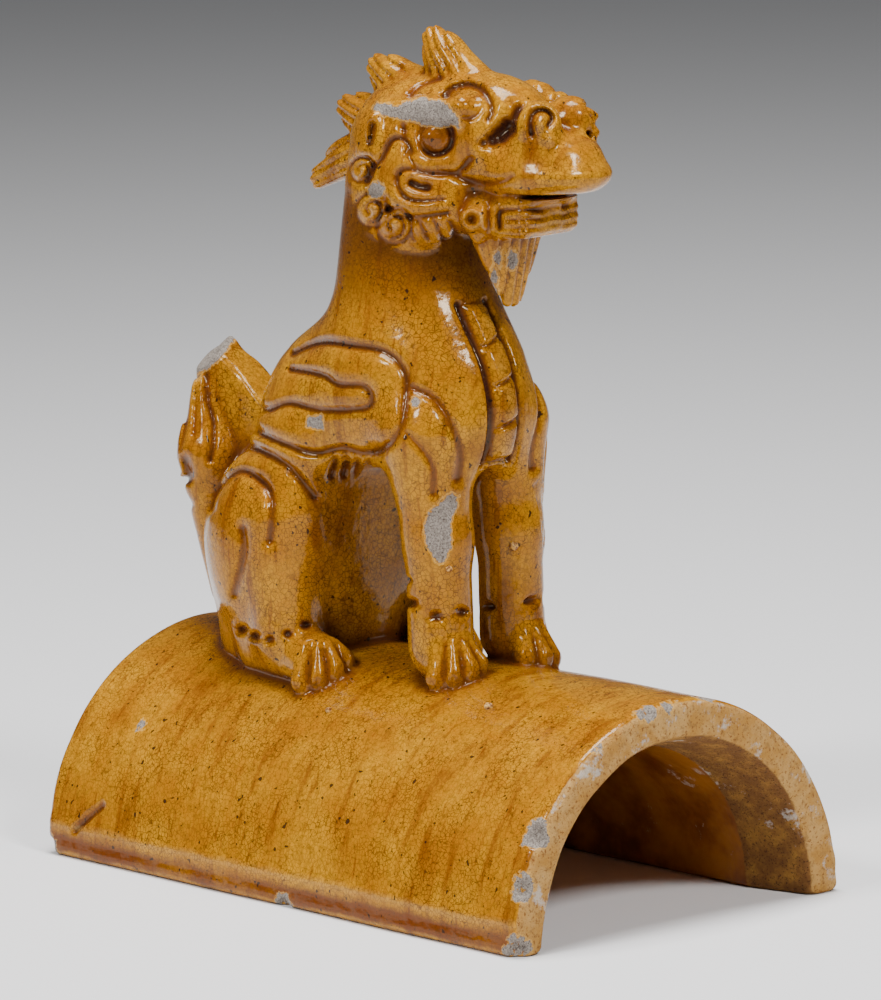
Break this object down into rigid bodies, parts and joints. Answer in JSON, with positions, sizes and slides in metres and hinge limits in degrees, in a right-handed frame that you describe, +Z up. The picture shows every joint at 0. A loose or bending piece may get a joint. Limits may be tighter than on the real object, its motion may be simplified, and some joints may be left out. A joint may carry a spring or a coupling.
{
  "type": "glazed ridge beast tile",
  "caption": "Half-round glazed ridge tile with a seated horned beast on its crown, open under its arch, standing on its two long edges.",
  "frame": {"origin": "middle of the plane the tile's two long edges stand on, halfway along the tile", "axes": "+X the way the beast faces, along the tile; +Y its left side; +Z up"},
  "size_m": [0.242, 0.15, 0.2921],
  "materials": {
    "glazed_clay": "Glossy amber lead glaze over buff clay, finely crackled, with bare clay on the broken edges and the end faces."
  },
  "bodies": {
    "root": {"ridge_beast_tile": "glazed_clay"}
  },
  "joints": []
}
